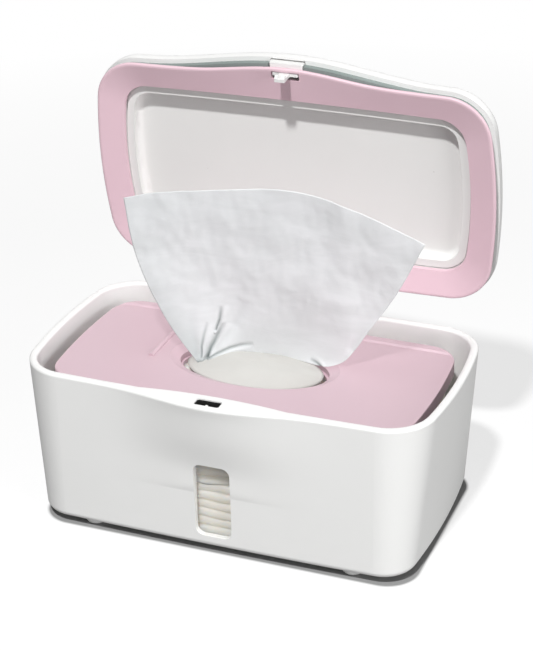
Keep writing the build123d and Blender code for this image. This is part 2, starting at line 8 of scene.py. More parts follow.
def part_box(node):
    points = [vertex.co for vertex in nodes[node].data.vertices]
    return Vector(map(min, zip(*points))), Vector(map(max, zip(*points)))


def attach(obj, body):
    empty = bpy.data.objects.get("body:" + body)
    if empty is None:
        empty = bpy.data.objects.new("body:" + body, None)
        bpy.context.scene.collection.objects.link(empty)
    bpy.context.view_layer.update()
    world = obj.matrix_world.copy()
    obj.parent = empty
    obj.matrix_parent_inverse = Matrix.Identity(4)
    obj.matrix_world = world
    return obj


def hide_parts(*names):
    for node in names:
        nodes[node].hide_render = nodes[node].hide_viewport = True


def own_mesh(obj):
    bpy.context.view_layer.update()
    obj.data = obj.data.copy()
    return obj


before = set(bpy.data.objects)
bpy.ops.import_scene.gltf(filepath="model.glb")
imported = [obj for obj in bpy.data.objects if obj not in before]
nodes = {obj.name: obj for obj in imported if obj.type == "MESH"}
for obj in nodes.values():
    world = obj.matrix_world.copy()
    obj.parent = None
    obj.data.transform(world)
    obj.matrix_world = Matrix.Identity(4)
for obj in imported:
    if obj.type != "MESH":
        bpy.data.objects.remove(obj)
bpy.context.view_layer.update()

# Camera: it stands to the right of the tub's front and looks down into the open lid.
# A long lens from about a metre away, tilted a little over a degree.
camera_place = Vector((0.338580, -0.825766, 0.547642))
camera_right = Vector((0.93077342, 0.36500155, -0.02084993))
camera_up = Vector((-0.14580448, 0.42289818, 0.89437027))
camera_back = camera_right.cross(camera_up)
camera_data = bpy.data.cameras.new("product_camera")
camera_data.sensor_fit = "VERTICAL"
camera_data.sensor_height = 36.0
camera_data.lens = 103.64
camera = bpy.data.objects.new("product_camera", camera_data)
camera.matrix_world = Matrix((
    (camera_right.x, camera_up.x, camera_back.x, camera_place.x),
    (camera_right.y, camera_up.y, camera_back.y, camera_place.y),
    (camera_right.z, camera_up.z, camera_back.z, camera_place.z),
    (0, 0, 0, 1),
))
bpy.context.scene.collection.objects.link(camera)
bpy.context.scene.camera = camera
bpy.context.scene.view_settings.view_transform = "Standard"


# Floor: a seamless sheet of pale paper, wide enough to fill the view.
# It is seen white but for the shadows on it, and throws back as much light as grey paper does.
# Right under the tub, inside a rounded patch, it is seen in its own grey: painted shade that deepens the
# shadow there.
floor_half = 4.0
floor_grey = 0.30
floor_white = 0.7
fade_start = 0.4
fade_end = 0.8
patch_half_x = 0.1062
patch_half_y = 0.0608
patch_corner = 0.018
patch_middle_x = 0.0008
patch_middle_y = -0.0068
edge_inside = 0.0008
edge_outside = 0.0012
floor_mesh = bpy.data.meshes.new("paper_floor")
floor_mesh.from_pydata(
    [(-floor_half, -floor_half, 0), (floor_half, -floor_half, 0),
     (floor_half, floor_half, 0), (-floor_half, floor_half, 0)],
    [], [(0, 1, 2, 3)],
)
floor_object = bpy.data.objects.new("paper_floor", floor_mesh)
bpy.context.scene.collection.objects.link(floor_object)
floor_material = bpy.data.materials.new("white_paper")
floor_material.use_nodes = True
floor_nodes = floor_material.node_tree.nodes
floor_links = floor_material.node_tree.links
floor_shader = floor_nodes["Principled BSDF"]
floor_shader.inputs["Roughness"].default_value = 1.0
floor_shader.inputs["Specular IOR Level"].default_value = 0.0


def floor_product(first, second):
    """Product of two values in the paper's material."""
    node = floor_nodes.new("ShaderNodeMath")
    node.operation = "MULTIPLY"
    floor_links.new(first, node.inputs[0])
    floor_links.new(second, node.inputs[1])
    return node.outputs[0]


def floor_vector(operation, first, second=(0.0, 0.0, 0.0)):
    """A vector of the paper's material, worked out from another one and a fixed one."""
    node = floor_nodes.new("ShaderNodeVectorMath")
    node.operation = operation
    floor_links.new(first, node.inputs[0])
    node.inputs[1].default_value = second
    return node.outputs["Value" if operation == "LENGTH" else "Vector"]


def floor_range(value, from_min, from_max, to_min, to_max):
    """A value of the paper's material, spread from one range to another."""
    node = floor_nodes.new("ShaderNodeMapRange")
    node.inputs["From Min"].default_value = from_min
    node.inputs["From Max"].default_value = from_max
    node.inputs["To Min"].default_value = to_min
    node.inputs["To Max"].default_value = to_max
    floor_links.new(value, node.inputs["Value"])
    return node.outputs["Result"]


floor_path = floor_nodes.new("ShaderNodeLightPath")
floor_tint = floor_nodes.new("ShaderNodeMix")
floor_tint.data_type = "RGBA"
floor_tint.inputs["A"].default_value = (floor_grey, floor_grey, floor_grey, 1.0)
floor_tint.inputs["B"].default_value = (1.0, 1.0, 1.0, 1.0)
floor_links.new(floor_tint.outputs["Result"], floor_shader.inputs["Base Color"])
floor_place = floor_nodes.new("ShaderNodeTexCoord").outputs["Object"]
floor_far = floor_range(floor_vector("LENGTH", floor_place), fade_start, fade_end, floor_white, 1.0)
patch_core = (patch_half_x - patch_corner, patch_half_y - patch_corner, 0.0)
floor_past = floor_vector("ADD", floor_place, (-patch_middle_x, -patch_middle_y, 0.0))
floor_past = floor_vector("SUBTRACT", floor_vector("ABSOLUTE", floor_past), patch_core)
floor_round = floor_vector("LENGTH", floor_vector("MAXIMUM", floor_past))
# The patch of painted shade: inside it the paper is seen in its grey and takes no glow.
floor_open = floor_range(floor_round, patch_corner - edge_inside, patch_corner + edge_outside, 0.0, 1.0)
floor_seen = floor_path.outputs["Is Camera Ray"]
floor_pale = floor_product(floor_open, floor_seen)
floor_white_share = floor_product(floor_product(floor_open, floor_far), floor_seen)
floor_links.new(floor_pale, floor_tint.inputs["Factor"])
floor_glow = floor_nodes.new("ShaderNodeEmission")
floor_mix = floor_nodes.new("ShaderNodeMixShader")
floor_links.new(floor_white_share, floor_mix.inputs["Fac"])
floor_links.new(floor_shader.outputs["BSDF"], floor_mix.inputs[1])
floor_links.new(floor_glow.outputs["Emission"], floor_mix.inputs[2])
floor_links.new(floor_mix.outputs["Shader"], floor_nodes["Material Output"].inputs["Surface"])
floor_mesh.materials.append(floor_material)


# Studio light: one small soft box high in front, a wide soft one low at the right, and pale light all round.
# Together they light a face turned to them so that its colour renders about as written.
room_light = 0.16


def soft_lamp(name, direction, distance, size, power):
    """A round soft box that shines on the tub from a direction."""
    lamp_data = bpy.data.lights.new(name, "AREA")
    lamp_data.shape = "DISK"
    lamp_data.size = size
    lamp_data.energy = power
    lamp = bpy.data.objects.new(name, lamp_data)
    towards = Vector(direction).normalized()
    lamp.location = towards * distance
    lamp.rotation_euler = towards.to_track_quat("Z", "Y").to_euler()
    bpy.context.scene.collection.objects.link(lamp)


soft_lamp("soft_box", direction=(0.07, -0.6, 1.0), distance=2.2, size=0.14, power=43.5)
soft_lamp("side_box", direction=(0.92, -0.335, 0.2), distance=2.2, size=1.6, power=29.0)
room = bpy.data.worlds.new("pale_room")
room.use_nodes = True
room_nodes = room.node_tree.nodes
room_links = room.node_tree.links
room_background = room_nodes["Background"]
room_background.inputs["Color"].default_value = (1.0, 1.0, 1.0, 1.0)
room_path = room_nodes.new("ShaderNodeLightPath")
room_seen = room_nodes.new("ShaderNodeMath")
room_seen.operation = "MAXIMUM"
room_links.new(room_path.outputs["Is Camera Ray"], room_seen.inputs[0])
room_links.new(room_path.outputs["Is Glossy Ray"], room_seen.inputs[1])
room_through = room_nodes.new("ShaderNodeMath")
room_through.operation = "MAXIMUM"
room_links.new(room_seen.outputs[0], room_through.inputs[0])
room_links.new(room_path.outputs["Is Transmission Ray"], room_through.inputs[1])
room_strength = room_nodes.new("ShaderNodeMapRange")
room_strength.inputs["To Min"].default_value = room_light
room_strength.inputs["To Max"].default_value = 1.0
room_links.new(room_through.outputs[0], room_strength.inputs["Value"])
room_links.new(room_strength.outputs["Result"], room_background.inputs["Strength"])
bpy.context.scene.world = room


# Tub: injection moulded in white plastic with a satin skin, its latch ledge swelling out of the front.
# The skin has a fine grain and a faint unevenness from the flow of the plastic.
def moulded_skin_group():
    """Shared skin of the moulded pieces: slow tone changes and a fine grain."""
    group = bpy.data.node_groups.new("moulded_skin", "ShaderNodeTree")
    group.interface.new_socket("Grain Scale", in_out="INPUT", socket_type="NodeSocketFloat")
    group.interface.new_socket("Flow Scale", in_out="INPUT", socket_type="NodeSocketFloat")
    group.interface.new_socket("Tone", in_out="OUTPUT", socket_type="NodeSocketFloat")
    group.interface.new_socket("Grain", in_out="OUTPUT", socket_type="NodeSocketFloat")
    entry = group.nodes.new("NodeGroupInput")
    result = group.nodes.new("NodeGroupOutput")
    place = group.nodes.new("ShaderNodeTexCoord")
    flow = group.nodes.new("ShaderNodeTexNoise")
    flow.inputs["Detail"].default_value = 4.0
    flow.inputs["Roughness"].default_value = 0.55
    grain = group.nodes.new("ShaderNodeTexNoise")
    grain.inputs["Detail"].default_value = 2.0
    spread = group.nodes.new("ShaderNodeMapRange")
    spread.inputs["From Min"].default_value = 0.3
    spread.inputs["From Max"].default_value = 0.7
    group.links.new(place.outputs["Object"], flow.inputs["Vector"])
    group.links.new(place.outputs["Object"], grain.inputs["Vector"])
    group.links.new(entry.outputs["Flow Scale"], flow.inputs["Scale"])
    group.links.new(entry.outputs["Grain Scale"], grain.inputs["Scale"])
    group.links.new(flow.outputs["Fac"], spread.inputs["Value"])
    group.links.new(spread.outputs["Result"], result.inputs["Tone"])
    group.links.new(grain.outputs["Fac"], result.inputs["Grain"])
    return group


moulded_skin = moulded_skin_group()


def moulded_plastic(name, body, shade, roughness, grain_scale, grain_depth, flow_scale=14.0):
    """Satin moulded plastic, its colour drifting between a body tone and a slightly deeper one."""
    material = bpy.data.materials.new(name)
    material.use_nodes = True
    tree = material.node_tree
    shader = tree.nodes["Principled BSDF"]
    skin = tree.nodes.new("ShaderNodeGroup")
    skin.node_tree = moulded_skin
    skin.inputs["Grain Scale"].default_value = grain_scale
    skin.inputs["Flow Scale"].default_value = flow_scale
    tint = tree.nodes.new("ShaderNodeMix")
    tint.data_type = "RGBA"
    tint.inputs["A"].default_value = (*shade, 1.0)
    tint.inputs["B"].default_value = (*body, 1.0)
    tree.links.new(skin.outputs["Tone"], tint.inputs["Factor"])
    tree.links.new(tint.outputs["Result"], shader.inputs["Base Color"])
    gloss = tree.nodes.new("ShaderNodeMapRange")
    gloss.inputs["To Min"].default_value = roughness + 0.05
    gloss.inputs["To Max"].default_value = roughness - 0.04
    tree.links.new(skin.outputs["Tone"], gloss.inputs["Value"])
    tree.links.new(gloss.outputs["Result"], shader.inputs["Roughness"])
    relief = tree.nodes.new("ShaderNodeBump")
    relief.inputs["Strength"].default_value = 0.25
    relief.inputs["Distance"].default_value = grain_depth
    tree.links.new(skin.outputs["Grain"], relief.inputs["Height"])
    tree.links.new(relief.outputs["Normal"], shader.inputs["Normal"])
    return material


def dress(material, *names):
    """Gives carried-over solids their finish."""
    for name in names:
        for entry in nodes[name].material_slots:
            entry.material = material


def painted_box(material, low, high, colour):
    """Paints a moulding another colour inside a box, such as painted shade on the walls of a deep slot."""
    tree = material.node_tree
    shader = tree.nodes["Principled BSDF"]
    base = shader.inputs["Base Color"].links[0].from_socket
    place = tree.nodes.new("ShaderNodeTexCoord")
    sides = tree.nodes.new("ShaderNodeSeparateXYZ")
    tree.links.new(place.outputs["Object"], sides.inputs["Vector"])
    inside = None
    for side, near, far in zip("XYZ", low, high):
        for operation, limit in (("GREATER_THAN", near), ("LESS_THAN", far)):
            test = tree.nodes.new("ShaderNodeMath")
            test.operation = operation
            test.inputs[1].default_value = limit
            tree.links.new(sides.outputs[side], test.inputs[0])
            if inside is None:
                inside = test.outputs[0]
                continue
            both = tree.nodes.new("ShaderNodeMath")
            both.operation = "MULTIPLY"
            tree.links.new(inside, both.inputs[0])
            tree.links.new(test.outputs[0], both.inputs[1])
            inside = both.outputs[0]
    paint = tree.nodes.new("ShaderNodeMix")
    paint.data_type = "RGBA"
    paint.inputs["B"].default_value = (*colour, 1.0)
    tree.links.new(inside, paint.inputs["Factor"])
    tree.links.new(base, paint.inputs["A"])
    tree.links.new(paint.outputs["Result"], shader.inputs["Base Color"])


white_tub = moulded_plastic(
    "white_tub", (0.86, 0.86, 0.85), (0.84, 0.84, 0.83),
    roughness=0.38, grain_scale=900.0, grain_depth=0.00006,
)
# Painted shade: inside this box the slot's walls are painted near black, where light never reaches them.
slot_half = 0.0070
slot_front = -0.0726
slot_back = -0.0660
slot_low = 0.0795
slot_high = 0.0903
slot_painted_shade = (0.02, 0.02, 0.02)
painted_box(white_tub, (-slot_half, slot_front, slot_low), (slot_half, slot_back, slot_high), slot_painted_shade)
dress(white_tub, "base_shell")


# Latch catch: a small white insert clipped into the slot, painted near black as shade inside the slot, all
# but the short rib at its front. The slot's walls round it carry the same painted shade, where the light
# never reaches them.
latch_white = moulded_plastic(
    "latch_white", (0.82, 0.82, 0.81), (0.78, 0.78, 0.77),
    roughness=0.42, grain_scale=1200.0, grain_depth=0.00004,
)
rib_half = 0.0007
rib_behind = 0.0008
rib_back = -0.0706
# Painted shade: the catch is painted near black inside the slot on both sides of its rib and behind it.
painted_box(latch_white, (rib_half, slot_front, slot_low), (slot_half, slot_back, slot_high), slot_painted_shade)
painted_box(latch_white, (-slot_half, slot_front, slot_low), (-rib_half, slot_back, slot_high), slot_painted_shade)
painted_box(latch_white, (-rib_behind, rib_back, slot_low), (rib_behind, slot_back, slot_high), slot_painted_shade)
dress(latch_white, "latch_catch")


# Window: a clear pane plugged into the front from inside, polished on both faces.
# The refill behind it shows how many wipes are left.
window_material = bpy.data.materials.new("clear_pane")
window_material.use_nodes = True
window_tree = window_material.node_tree
window_shader = window_tree.nodes["Principled BSDF"]
window_shader.inputs["Alpha"].default_value = 0.08
window_shader.inputs["IOR"].default_value = 1.45
window_skin = window_tree.nodes.new("ShaderNodeGroup")
window_skin.node_tree = moulded_skin
window_skin.inputs["Grain Scale"].default_value = 300.0
window_skin.inputs["Flow Scale"].default_value = 40.0
window_tint = window_tree.nodes.new("ShaderNodeMix")
window_tint.data_type = "RGBA"
window_tint.inputs["A"].default_value = (0.95, 0.94, 0.9, 1.0)
window_tint.inputs["B"].default_value = (0.98, 0.975, 0.95, 1.0)
window_gloss = window_tree.nodes.new("ShaderNodeMapRange")
window_gloss.inputs["To Min"].default_value = 0.05
window_gloss.inputs["To Max"].default_value = 0.02
window_tree.links.new(window_skin.outputs["Tone"], window_tint.inputs["Factor"])
window_tree.links.new(window_tint.outputs["Result"], window_shader.inputs["Base Color"])
window_tree.links.new(window_skin.outputs["Tone"], window_gloss.inputs["Value"])
window_tree.links.new(window_gloss.outputs["Result"], window_shader.inputs["Roughness"])
dress(window_material, "window_lens")


# Feet: four soft domed buttons pressed into recesses under the tub.
# They are white rubber with a dull, slightly dusty skin.
rubber_foot = moulded_plastic(
    "rubber_foot", (0.88, 0.88, 0.87), (0.84, 0.84, 0.83),
    roughness=0.7, grain_scale=1800.0, grain_depth=0.0001, flow_scale=60.0,
)
dress(rubber_foot, "foot_front_left", "foot_front_right", "foot_rear_left", "foot_rear_right")


# Steel pieces: the drawn hinge pin, the wound springs, the plate's weights and its screws.
# The metal is bright, with fine lines along the way it was drawn.
steel = bpy.data.materials.new("drawn_steel")
steel.use_nodes = True
steel_tree = steel.node_tree
steel_shader = steel_tree.nodes["Principled BSDF"]
steel_shader.inputs["Metallic"].default_value = 1.0
steel_place = steel_tree.nodes.new("ShaderNodeTexCoord")
steel_stretch = steel_tree.nodes.new("ShaderNodeMapping")
steel_stretch.inputs["Scale"].default_value = (60.0, 1600.0, 1600.0)
steel_lines = steel_tree.nodes.new("ShaderNodeTexNoise")
steel_lines.inputs["Scale"].default_value = 1.0
steel_lines.inputs["Detail"].default_value = 3.0
steel_tint = steel_tree.nodes.new("ShaderNodeMix")
steel_tint.data_type = "RGBA"
steel_tint.inputs["A"].default_value = (0.42, 0.42, 0.44, 1.0)
steel_tint.inputs["B"].default_value = (0.62, 0.62, 0.63, 1.0)
steel_gloss = steel_tree.nodes.new("ShaderNodeMapRange")
steel_gloss.inputs["To Min"].default_value = 0.4
steel_gloss.inputs["To Max"].default_value = 0.24
steel_relief = steel_tree.nodes.new("ShaderNodeBump")
steel_relief.inputs["Strength"].default_value = 0.3
steel_relief.inputs["Distance"].default_value = 0.00005
steel_tree.links.new(steel_place.outputs["Object"], steel_stretch.inputs["Vector"])
steel_tree.links.new(steel_stretch.outputs["Vector"], steel_lines.inputs["Vector"])
steel_tree.links.new(steel_lines.outputs["Fac"], steel_tint.inputs["Factor"])
steel_tree.links.new(steel_tint.outputs["Result"], steel_shader.inputs["Base Color"])
steel_tree.links.new(steel_lines.outputs["Fac"], steel_gloss.inputs["Value"])
steel_tree.links.new(steel_gloss.outputs["Result"], steel_shader.inputs["Roughness"])
steel_tree.links.new(steel_lines.outputs["Fac"], steel_relief.inputs["Height"])
steel_tree.links.new(steel_relief.outputs["Normal"], steel_shader.inputs["Normal"])
dress(steel, "hinge_pin", "hinge_spring", "button_spring")
dress(steel, "plate_weight_left", "plate_weight_right", "plate_screws")


# Lid cover: the white outer shell of the lid with its hinge arms, moulded like the tub.
# It shows as a white edge round the lid and as the whole of its back.
white_lid = moulded_plastic(
    "white_lid", (0.86, 0.86, 0.85), (0.84, 0.84, 0.83),
    roughness=0.36, grain_scale=900.0, grain_depth=0.00006,
)
dress(white_lid, "lid_shell")


# Lid frame: dusty pink plastic with a satin skin, dished in towards the opening.
# Its outer edge is rounded and catches the light.
pink_frame = moulded_plastic(
    "pink_frame", (0.755, 0.55, 0.615), (0.735, 0.53, 0.595),
    roughness=0.4, grain_scale=900.0, grain_depth=0.00005, flow_scale=10.0,
)
dress(pink_frame, "lid_frame")


# Gasket: a grey-green silicone band that seals the lid, clamped between frame and cover.
# It is matt and shows as a thin line round the lid's edge.
silicone_band = moulded_plastic(
    "silicone_band", (0.24, 0.28, 0.27), (0.19, 0.225, 0.215),
    roughness=0.6, grain_scale=1400.0, grain_depth=0.00005, flow_scale=30.0,
)
dress(silicone_band, "lid_gasket")


# Liner: a white tray set into the frame's opening, drawn with soft inner corners.
# Its skin is a little glossier than the tub's and has a few tiny specks on the ledge.
def specked_liner():
    """Satin white with scattered specks of dust."""
    material = moulded_plastic(
        "white_liner", (0.80, 0.80, 0.785), (0.77, 0.77, 0.755),
        roughness=0.3, grain_scale=700.0, grain_depth=0.00004, flow_scale=8.0,
    )
    tree = material.node_tree
    shader = tree.nodes["Principled BSDF"]
    base = shader.inputs["Base Color"].links[0].from_socket
    place = tree.nodes.new("ShaderNodeTexCoord")
    cells = tree.nodes.new("ShaderNodeTexVoronoi")
    cells.inputs["Scale"].default_value = 55.0
    speck = tree.nodes.new("ShaderNodeMapRange")
    speck.inputs["From Min"].default_value = 0.012
    speck.inputs["From Max"].default_value = 0.02
    speck.inputs["To Min"].default_value = 0.55
    speck.inputs["To Max"].default_value = 0.0
    dust = tree.nodes.new("ShaderNodeMix")
    dust.data_type = "RGBA"
    dust.inputs["B"].default_value = (0.36, 0.35, 0.33, 1.0)
    tree.links.new(place.outputs["Object"], cells.inputs["Vector"])
    tree.links.new(cells.outputs["Distance"], speck.inputs["Value"])
    tree.links.new(speck.outputs["Result"], dust.inputs["Factor"])
    tree.links.new(base, dust.inputs["A"])
    tree.links.new(dust.outputs["Result"], shader.inputs["Base Color"])
    return material


white_liner = specked_liner()
dress(white_liner, "lid_liner")


# Latch button and hook: white mouldings that slide together in the front of the lid.
# The hook has a broad tongue and hangs through the pink frame.
button_white = moulded_plastic(
    "button_white", (0.82, 0.82, 0.81), (0.79, 0.79, 0.78),
    roughness=0.34, grain_scale=1200.0, grain_depth=0.00004, flow_scale=40.0,
)
dress(button_white, "latch_button", "latch_hook")


# Pressing plate: two pale pink mouldings screwed together round steel weights.
# It lies on the wipes and has a raised lip, a short rib and a shallow funnel round its oval.
plate_pink = moulded_plastic(
    "plate_pink", (0.61, 0.455, 0.505), (0.59, 0.44, 0.49),
    roughness=0.36, grain_scale=900.0, grain_depth=0.00005, flow_scale=9.0,
)
dress(plate_pink, "plate_cover", "plate_base")


# Refill: a stack of folded wipes of moist cream nonwoven, flat in the tub, of which about a dozen folds show.
# Each fold is a rounded edge, and the folds wander a little where the stack was pressed.
# Its front bulges out towards the window, and light sinks some way into the cloth.
def nonwoven_group():
    """Shared look of the moist wipes: soft clouds where the web is thick and a fine tangle of fibres."""
    group = bpy.data.node_groups.new("nonwoven_web", "ShaderNodeTree")
    group.interface.new_socket("Cloud Scale", in_out="INPUT", socket_type="NodeSocketFloat")
    group.interface.new_socket("Fibre Scale", in_out="INPUT", socket_type="NodeSocketFloat")
    group.interface.new_socket("Clouds", in_out="OUTPUT", socket_type="NodeSocketFloat")
    group.interface.new_socket("Fibres", in_out="OUTPUT", socket_type="NodeSocketFloat")
    entry = group.nodes.new("NodeGroupInput")
    result = group.nodes.new("NodeGroupOutput")
    place = group.nodes.new("ShaderNodeTexCoord")
    streaks = group.nodes.new("ShaderNodeMapping")
    streaks.inputs["Rotation"].default_value = (0.0, 0.25, 0.0)
    streaks.inputs["Scale"].default_value = (0.55, 1.0, 1.7)
    clouds = group.nodes.new("ShaderNodeTexNoise")
    clouds.inputs["Detail"].default_value = 6.0
    clouds.inputs["Roughness"].default_value = 0.6
    clouds.inputs["Distortion"].default_value = 0.6
    spread = group.nodes.new("ShaderNodeMapRange")
    spread.inputs["From Min"].default_value = 0.36
    spread.inputs["From Max"].default_value = 0.64
    fibres = group.nodes.new("ShaderNodeTexNoise")
    fibres.inputs["Detail"].default_value = 4.0
    fibres.inputs["Distortion"].default_value = 2.5
    group.links.new(place.outputs["Object"], streaks.inputs["Vector"])
    group.links.new(streaks.outputs["Vector"], clouds.inputs["Vector"])
    group.links.new(place.outputs["Object"], fibres.inputs["Vector"])
    group.links.new(entry.outputs["Cloud Scale"], clouds.inputs["Scale"])
    group.links.new(entry.outputs["Fibre Scale"], fibres.inputs["Scale"])
    group.links.new(clouds.outputs["Fac"], spread.inputs["Value"])
    group.links.new(spread.outputs["Result"], result.inputs["Clouds"])
    group.links.new(fibres.outputs["Fac"], result.inputs["Fibres"])
    return group


nonwoven_web = nonwoven_group()


def moist_wipe(name, thick, thin, cloud_scale, fibre_scale, fibre_depth):
    """Moist nonwoven, clouded where the web is thicker."""
    material = bpy.data.materials.new(name)
    material.use_nodes = True
    tree = material.node_tree
    shader = tree.nodes["Principled BSDF"]
    shader.inputs["Specular IOR Level"].default_value = 0.25
    shader.inputs["Sheen Weight"].default_value = 0.05
    web = tree.nodes.new("ShaderNodeGroup")
    web.node_tree = nonwoven_web
    web.inputs["Cloud Scale"].default_value = cloud_scale
    web.inputs["Fibre Scale"].default_value = fibre_scale
    tint = tree.nodes.new("ShaderNodeMix")
    tint.data_type = "RGBA"
    tint.inputs["A"].default_value = (*thin, 1.0)
    tint.inputs["B"].default_value = (*thick, 1.0)
    tree.links.new(web.outputs["Clouds"], tint.inputs["Factor"])
    tree.links.new(tint.outputs["Result"], shader.inputs["Base Color"])
    gloss = tree.nodes.new("ShaderNodeMapRange")
    gloss.inputs["To Min"].default_value = 0.72
    gloss.inputs["To Max"].default_value = 0.9
    tree.links.new(web.outputs["Clouds"], gloss.inputs["Value"])
    tree.links.new(gloss.outputs["Result"], shader.inputs["Roughness"])
    relief = tree.nodes.new("ShaderNodeBump")
    relief.inputs["Strength"].default_value = 0.5
    relief.inputs["Distance"].default_value = fibre_depth
    tree.links.new(web.outputs["Fibres"], relief.inputs["Height"])
    tree.links.new(relief.outputs["Normal"], shader.inputs["Normal"])
    return material


def lets_light_through(material, share):
    """Lets part of the light that falls on thin moist cloth go on through it."""
    tree = material.node_tree
    shader = tree.nodes["Principled BSDF"]
    path = tree.nodes.new("ShaderNodeLightPath")
    part = tree.nodes.new("ShaderNodeMath")
    part.operation = "MULTIPLY"
    part.inputs[1].default_value = share
    clear = tree.nodes.new("ShaderNodeBsdfTransparent")
    mix = tree.nodes.new("ShaderNodeMixShader")
    tree.links.new(path.outputs["Is Shadow Ray"], part.inputs[0])
    tree.links.new(part.outputs[0], mix.inputs["Fac"])
    tree.links.new(shader.outputs["BSDF"], mix.inputs[1])
    tree.links.new(clear.outputs["BSDF"], mix.inputs[2])
    tree.links.new(mix.outputs["Shader"], tree.nodes["Material Output"].inputs["Surface"])


def shaded_folds(material, deep):
    """Paints shade into the cloth's colour from its fold_shade values: in the bottoms of sharp folds, along
    the gathered foot, low down and along the left edge.
    """
    tree = material.node_tree
    shader = tree.nodes["Principled BSDF"]
    base = shader.inputs["Base Color"].links[0].from_socket
    fold = tree.nodes.new("ShaderNodeAttribute")
    fold.attribute_name = "fold_shade"
    paint = tree.nodes.new("ShaderNodeMix")
    paint.data_type = "RGBA"
    paint.inputs["B"].default_value = (*deep, 1.0)
    tree.links.new(fold.outputs["Fac"], paint.inputs["Factor"])
    tree.links.new(base, paint.inputs["A"])
    tree.links.new(paint.outputs["Result"], shader.inputs["Base Color"])


def smooth_object(name, points, faces, material):
    """One smooth-shaded piece from its points and faces."""
    mesh = bpy.data.meshes.new(name)
    mesh.from_pydata([tuple(point) for point in points], [], faces)
    mesh.polygons.foreach_set("use_smooth", [True] * len(mesh.polygons))
    mesh.materials.append(material)
    piece = bpy.data.objects.new(name, mesh)
    bpy.context.scene.collection.objects.link(piece)
    return piece


def folded_refill():
    """The stack as one skin whose sides run in and out over every fold."""
    low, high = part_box("wipes_stack")
    middle_x = (low.x + high.x) / 2
    middle_y = (low.y + high.y) / 2
    clearance = 0.0004
    top_clearance = 0.0001
    half_x = (high.x - low.x) / 2 - clearance
    half_y = (high.y - low.y) / 2 - clearance
    wipe_count = 13
    fold_depth = 0.0008
    pressed_depth = 0.0005
    wander_height = 0.0021
    bulge = 0.0046
    bulge_half_width = 0.6
    corner = 0.006
    corner_draw = 0.004
    squareness = 14
    around = 280
    layer = (high.z - low.z) / wipe_count
    # Height within one layer, and how much of the fold's depth the side draws in there
    steps = ((0.03, 1.0), (0.14, 0.35), (0.35, 0.04), (0.65, 0.04), (0.86, 0.35), (0.97, 1.0))
    points = []
    rings = []
    for index in range(wipe_count):
        for share, inward in steps:
            ring = []
            for turn in range(around):
                angle = 2 * math.pi * turn / around
                x = math.cos(angle)
                y = math.sin(angle)
                reach = (abs(x) ** squareness + abs(y) ** squareness) ** (-1 / squareness)
                wander = noise.noise(Vector((x * 6.3, y * 3.1, index * 1.7)))
                pressed = noise.noise(Vector((x * 5.3 + 9, y * 5.3, index * 0.9)))
                inset = fold_depth * inward + pressed_depth * max(pressed, 0.0)
                drift = wander_height * wander * math.sin(math.pi * index / wipe_count)
                z = low.z + layer * (index + share) + drift
                top_round = max(0.0, (z - (high.z - corner)) / corner)
                inset += corner_draw * top_round**2
                forward = bulge * max(-y * reach, 0.0) * max(1 - (x * reach / bulge_half_width) ** 2, 0.0)
                ring.append(len(points))
                points.append((
                    middle_x + (half_x - inset) * x * reach,
                    middle_y + (half_y - inset) * y * reach - forward * (1 - top_round**2),
                    min(z, high.z - top_clearance),
                ))
            rings.append(ring)
    faces = []
    for lower, upper in zip(rings, rings[1:]):
        for turn in range(around):
            after = (turn + 1) % around
            faces.append((lower[turn], lower[after], upper[after], upper[turn]))
    faces.append(tuple(reversed(rings[0])))
    faces.append(tuple(rings[-1]))
    return smooth_object("folded_refill", points, faces, cream_wipe)


cream_wipe = moist_wipe(
    "cream_wipe", (0.88, 0.84, 0.77), (0.83, 0.78, 0.70),
    cloud_scale=90.0, fibre_scale=1500.0, fibre_depth=0.0002,
)
# Light sinks into the moist stack and comes out about a centimetre away
cream_shader = cream_wipe.node_tree.nodes["Principled BSDF"]
cream_shader.inputs["Subsurface Weight"].default_value = 0.7
cream_shader.inputs["Subsurface Radius"].default_value = (1.0, 0.8, 0.6)
cream_shader.inputs["Subsurface Scale"].default_value = 0.014
refill = folded_refill()
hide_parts("wipes_stack")
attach(refill, "wipes")


# Next wipe: the crown of the next fold, bulging up into the oval in front of the pulled one.
# It fills the oval but for a small gap at the left end, and carries a few soft creases.
def crown_of_next_wipe():
    """A low dome inside the oval with a skirt that goes down to the stack."""
    middle_x = 0.0005
    middle_y = -0.0069
    half_x = 0.0382
    half_y = 0.0214
    rim_level = 0.0797
    foot_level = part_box("next_wipe")[0].z
    rise = 0.0040
    crease_depth = 0.0005
    dent_depth = 0.0006
    # Height and width of the skirt's two rings, the width as a share of the rim's
    skirt = ((rim_level - 0.0012, 0.985), (foot_level, 0.95))
    rings_count = 22
    around = 96
    points = [(middle_x, middle_y, rim_level + rise)]
    rings = []
    for ring_index in range(1, rings_count + 1):
        share = ring_index / rings_count
        ring = []
        for turn in range(around):
            angle = 2 * math.pi * turn / around
            x = half_x * share * math.cos(angle)
            y = half_y * share * math.sin(angle)
            back = max(0.0, y / half_y)
            dome = rise * (1 - share**2.4) * (1 + 0.25 * back)
            crease = crease_depth * math.sin(x * 95 + y * 210 + 1.2) * (1 - share**4)
            dent = dent_depth * noise.noise(Vector((x * 60, y * 90, 4.0))) * (1 - share**6)
            ring.append(len(points))
            points.append((middle_x + x, middle_y + y, rim_level + dome + crease + dent))
        rings.append(ring)
    for level, shrink in skirt:
        ring = []
        for turn in range(around):
            angle = 2 * math.pi * turn / around
            ring.append(len(points))
            points.append((
                middle_x + half_x * shrink * math.cos(angle),
                middle_y + half_y * shrink * math.sin(angle),
                level,
            ))
        rings.append(ring)
    faces = []
    for turn in range(around):
        faces.append((0, rings[0][turn], rings[0][(turn + 1) % around]))
    for inner, outer in zip(rings, rings[1:]):
        for turn in range(around):
            after = (turn + 1) % around
            faces.append((inner[turn], outer[turn], outer[after], inner[after]))
    faces.append(tuple(reversed(rings[-1])))
    return smooth_object("next_wipe_crown", points, faces, crown_wipe)
